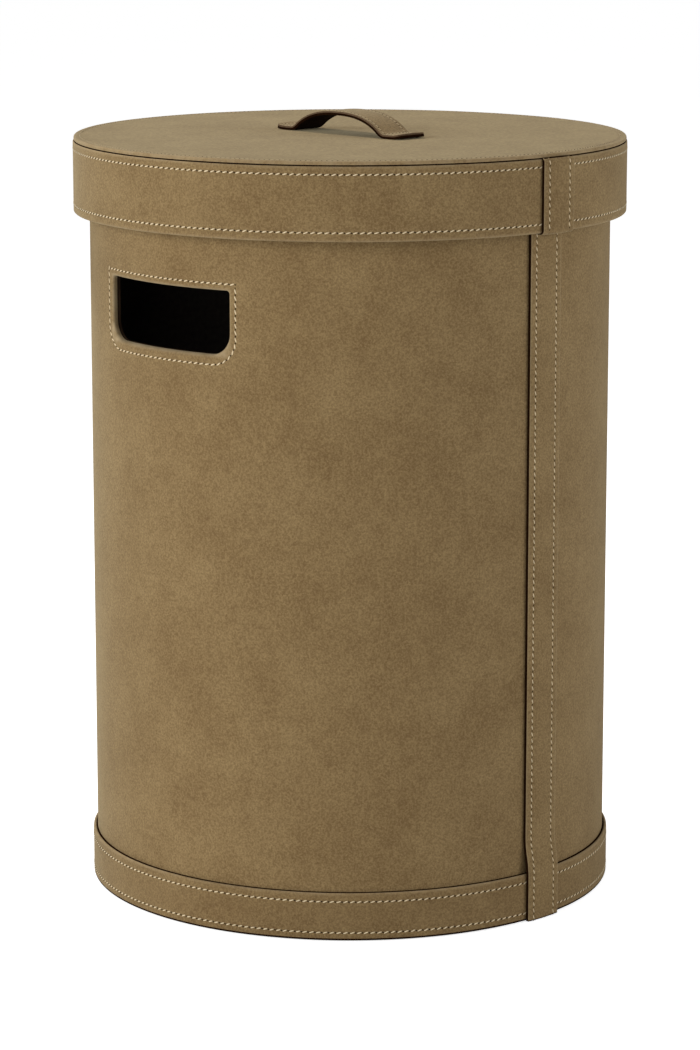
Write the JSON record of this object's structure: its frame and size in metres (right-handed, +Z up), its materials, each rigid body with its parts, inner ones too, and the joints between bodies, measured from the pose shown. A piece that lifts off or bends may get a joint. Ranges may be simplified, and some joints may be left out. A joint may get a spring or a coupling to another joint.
{
  "type": "storage bin with lift-off lid",
  "caption": "Round storage bin wrapped in soft napped leather, with a band round its foot, hand slots in its sides and a deep lift-off lid that has a strap handle.",
  "frame": {"origin": "centre of the round base, on the floor", "axes": "+Z up along the bin's axis; -Y towards the seam strips; the hand slots are on +X and -X, and the lid's handle runs along Y"},
  "size_m": [0.4012, 0.403, 0.5671],
  "materials": {
    "cover_leather": "tan nubuck-style leather, matt, with cream stitching",
    "strap_backing": "darker tan leather, matt",
    "greyboard": "grey paper board",
    "lining_cloth": "black lining cloth, matt",
    "paper_tape": "brown gummed paper tape",
    "black_felt": "black non-woven felt"
  },
  "bodies": {
    "bin": {"base_felt": "black_felt", "base_board": "greyboard", "floor_lining": "lining_cloth", "body_board_left": "greyboard", "body_board_right": "greyboard", "board_joint_tape_front": "paper_tape", "board_joint_tape_back": "paper_tape", "body_lining": "lining_cloth", "body_cover": "cover_leather", "grip_facing_left": "cover_leather", "grip_facing_right": "cover_leather", "base_band_core": "greyboard", "base_band_cover": "cover_leather", "body_seam_strip": "cover_leather"},
    "lid": {"lid_top_cover": "cover_leather", "lid_board": "greyboard", "lid_inner_board": "greyboard", "lid_lining": "lining_cloth", "lid_rim_board": "greyboard", "lid_rim_cover": "cover_leather", "lid_rim_lining": "lining_cloth", "lid_seam_strip": "cover_leather", "handle_under_ply": "strap_backing", "handle_core": "greyboard", "handle_top_ply": "cover_leather"}
  },
  "joints": [
    {"name": "lid_lift", "type": "slide", "parent": "bin", "child": "lid", "axis": [0, 0, 1], "range_m": [0, 0.2]}
  ]
}
